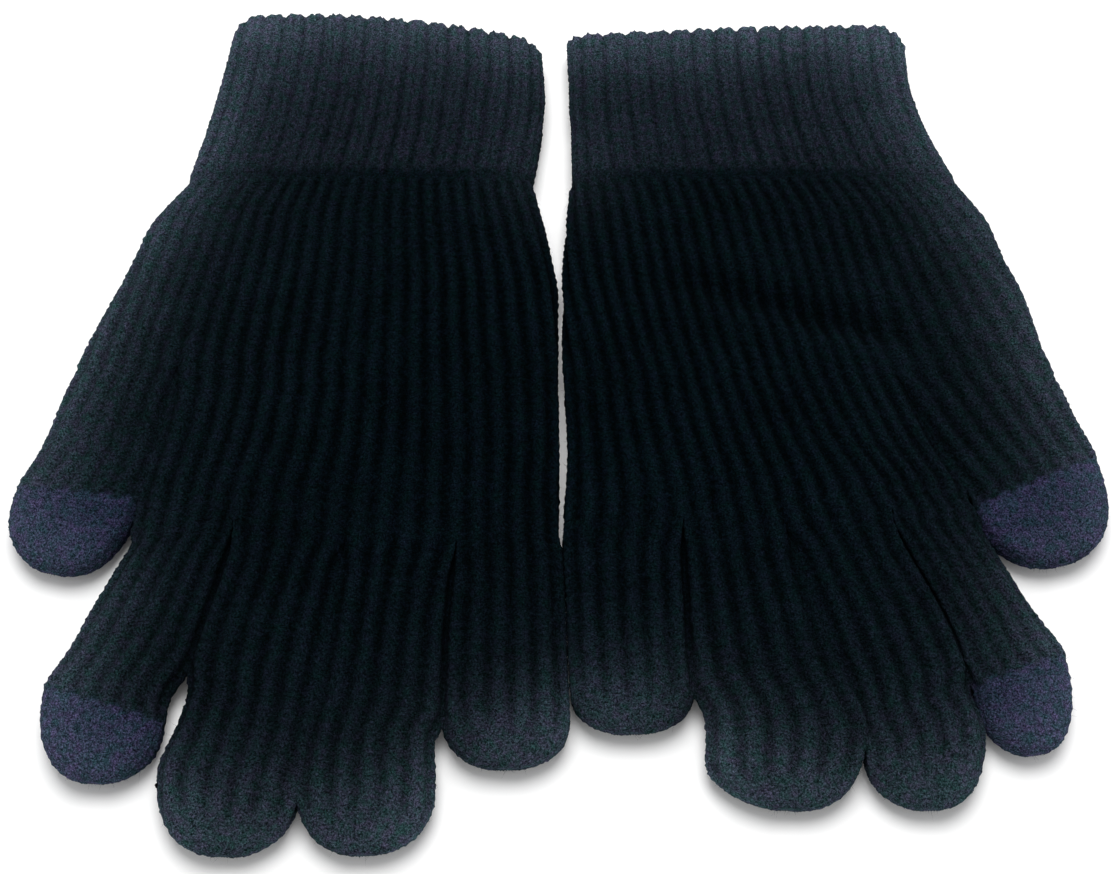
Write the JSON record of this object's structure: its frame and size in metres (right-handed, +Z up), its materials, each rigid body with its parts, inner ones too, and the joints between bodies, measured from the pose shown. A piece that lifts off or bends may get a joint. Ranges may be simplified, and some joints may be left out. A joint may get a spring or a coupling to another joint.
{
  "type": "touchscreen gloves",
  "caption": "Pair of dark ribbed knit gloves lying flat, with ribbed cuffs and touch-sensitive thumb and index fingertips.",
  "frame": {"origin": "on the surface the gloves lie on, under the middle of the pair", "axes": "+X across the pair to the glove whose thumb points that way, +Y from the fingertips to the cuffs, +Z up, out of the palms"},
  "size_m": [0.246, 0.2145, 0.0104],
  "materials": {
    "body_yarn": "matt brushed rib knit, very dark navy",
    "touch_yarn": "matt plain knit of conductive yarn, greyish violet navy",
    "elastic_yarn": "thin covered elastic, matt dark"
  },
  "bodies": {
    "left_hand": {"left_hand": "body_yarn"},
    "left_cuff": {"left_cuff": "body_yarn", "left_cuff_edge": "body_yarn", "left_cuff_elastic": "elastic_yarn"},
    "left_thumb_lower": {"left_thumb_lower": "body_yarn"},
    "left_thumb_upper": {"left_thumb_upper": "body_yarn", "left_thumb_tip": "touch_yarn"},
    "left_index_lower": {"left_index_lower": "body_yarn"},
    "left_index_upper": {"left_index_upper": "body_yarn", "left_index_tip": "touch_yarn"},
    "left_middle_lower": {"left_middle_lower": "body_yarn"},
    "left_middle_upper": {"left_middle_upper": "body_yarn", "left_middle_tip": "body_yarn", "left_middle_yarn_end": "body_yarn"},
    "left_ring_lower": {"left_ring_lower": "body_yarn"},
    "left_ring_upper": {"left_ring_upper": "body_yarn", "left_ring_tip": "body_yarn", "left_ring_yarn_end": "body_yarn"},
    "left_little_lower": {"left_little_lower": "body_yarn"},
    "left_little_upper": {"left_little_upper": "body_yarn", "left_little_tip": "body_yarn"},
    "right_hand": {"right_hand": "body_yarn"},
    "right_cuff": {"right_cuff": "body_yarn", "right_cuff_edge": "body_yarn", "right_cuff_elastic": "elastic_yarn"},
    "right_thumb_lower": {"right_thumb_lower": "body_yarn"},
    "right_thumb_upper": {"right_thumb_upper": "body_yarn", "right_thumb_tip": "touch_yarn"},
    "right_index_lower": {"right_index_lower": "body_yarn"},
    "right_index_upper": {"right_index_upper": "body_yarn", "right_index_tip": "touch_yarn"},
    "right_middle_lower": {"right_middle_lower": "body_yarn"},
    "right_middle_upper": {"right_middle_upper": "body_yarn", "right_middle_tip": "body_yarn"},
    "right_ring_lower": {"right_ring_lower": "body_yarn"},
    "right_ring_upper": {"right_ring_upper": "body_yarn", "right_ring_tip": "body_yarn"},
    "right_little_lower": {"right_little_lower": "body_yarn"},
    "right_little_upper": {"right_little_upper": "body_yarn", "right_little_tip": "body_yarn"}
  },
  "joints": [
    {"name": "left_wrist_bend", "type": "hinge", "parent": "left_hand", "child": "left_cuff", "pos_m": [-0.0491, 0.05765, 0.0104], "axis": [1, 0, 0], "range_deg": [0, 70]},
    {"name": "left_thumb_base_bend", "type": "hinge", "parent": "left_hand", "child": "left_thumb_lower", "pos_m": [-0.1011, 0.00585, 0.0104], "axis": [1, 0, 0], "range_deg": [-60, 0]},
    {"name": "left_thumb_knuckle_bend", "type": "hinge", "parent": "left_thumb_lower", "child": "left_thumb_upper", "pos_m": [-0.10565, -0.01615, 0.0104], "axis": [1, 0, 0], "range_deg": [-75, 0]},
    {"name": "left_index_base_bend", "type": "hinge", "parent": "left_hand", "child": "left_index_lower", "pos_m": [-0.0839, -0.03615, 0.0104], "axis": [-1, 0, 0], "range_deg": [0, 75]},
    {"name": "left_index_knuckle_bend", "type": "hinge", "parent": "left_index_lower", "child": "left_index_upper", "pos_m": [-0.09155, -0.05815, 0.0104], "axis": [-1, 0, 0], "range_deg": [0, 90]},
    {"name": "left_middle_base_bend", "type": "hinge", "parent": "left_hand", "child": "left_middle_lower", "pos_m": [-0.05965, -0.03615, 0.0104], "axis": [-1, 0, 0], "range_deg": [0, 75]},
    {"name": "left_middle_knuckle_bend", "type": "hinge", "parent": "left_middle_lower", "child": "left_middle_upper", "pos_m": [-0.06425, -0.06215, 0.0104], "axis": [-1, 0, 0], "range_deg": [0, 90]},
    {"name": "left_ring_base_bend", "type": "hinge", "parent": "left_hand", "child": "left_ring_lower", "pos_m": [-0.0351, -0.03615, 0.0104], "axis": [-1, 0, 0], "range_deg": [0, 75]},
    {"name": "left_ring_knuckle_bend", "type": "hinge", "parent": "left_ring_lower", "child": "left_ring_upper", "pos_m": [-0.03775, -0.06215, 0.0104], "axis": [-1, 0, 0], "range_deg": [0, 90]},
    {"name": "left_little_base_bend", "type": "hinge", "parent": "left_hand", "child": "left_little_lower", "pos_m": [-0.01135, -0.03615, 0.0104], "axis": [-1, 0, 0], "range_deg": [0, 75]},
    {"name": "left_little_knuckle_bend", "type": "hinge", "parent": "left_little_lower", "child": "left_little_upper", "pos_m": [-0.0119, -0.05815, 0.0104], "axis": [-1, 0, 0], "range_deg": [0, 90]},
    {"name": "right_wrist_bend", "type": "hinge", "parent": "right_hand", "child": "right_cuff", "pos_m": [0.0502, 0.05765, 0.0104], "axis": [1, 0, 0], "range_deg": [0, 70]},
    {"name": "right_thumb_base_bend", "type": "hinge", "parent": "right_hand", "child": "right_thumb_lower", "pos_m": [0.0971, 0.00385, 0.0104], "axis": [1, 0, 0], "range_deg": [-60, 0]},
    {"name": "right_thumb_knuckle_bend", "type": "hinge", "parent": "right_thumb_lower", "child": "right_thumb_upper", "pos_m": [0.1048, -0.01715, 0.0104], "axis": [1, 0, 0], "range_deg": [-75, 0]},
    {"name": "right_index_base_bend", "type": "hinge", "parent": "right_hand", "child": "right_index_lower", "pos_m": [0.0842, -0.03315, 0.0104], "axis": [-1, 0, 0], "range_deg": [0, 75]},
    {"name": "right_index_knuckle_bend", "type": "hinge", "parent": "right_index_lower", "child": "right_index_upper", "pos_m": [0.09375, -0.05315, 0.0104], "axis": [-1, 0, 0], "range_deg": [0, 90]},
    {"name": "right_middle_base_bend", "type": "hinge", "parent": "right_hand", "child": "right_middle_lower", "pos_m": [0.06165, -0.03315, 0.0104], "axis": [-1, 0, 0], "range_deg": [0, 75]},
    {"name": "right_middle_knuckle_bend", "type": "hinge", "parent": "right_middle_lower", "child": "right_middle_upper", "pos_m": [0.07025, -0.05715, 0.0104], "axis": [-1, 0, 0], "range_deg": [0, 90]},
    {"name": "right_ring_base_bend", "type": "hinge", "parent": "right_hand", "child": "right_ring_lower", "pos_m": [0.0384, -0.03315, 0.0104], "axis": [-1, 0, 0], "range_deg": [0, 75]},
    {"name": "right_ring_knuckle_bend", "type": "hinge", "parent": "right_ring_lower", "child": "right_ring_upper", "pos_m": [0.0417, -0.05715, 0.0104], "axis": [-1, 0, 0], "range_deg": [0, 90]},
    {"name": "right_little_base_bend", "type": "hinge", "parent": "right_hand", "child": "right_little_lower", "pos_m": [0.01385, -0.03315, 0.0104], "axis": [-1, 0, 0], "range_deg": [0, 75]},
    {"name": "right_little_knuckle_bend", "type": "hinge", "parent": "right_little_lower", "child": "right_little_upper", "pos_m": [0.01465, -0.05415, 0.0104], "axis": [-1, 0, 0], "range_deg": [0, 90]},
    {"name": "gloves_apart", "type": "slide", "parent": "left_hand", "child": "right_hand", "axis": [1, 0, 0], "range_m": [0, 0.12]}
  ]
}
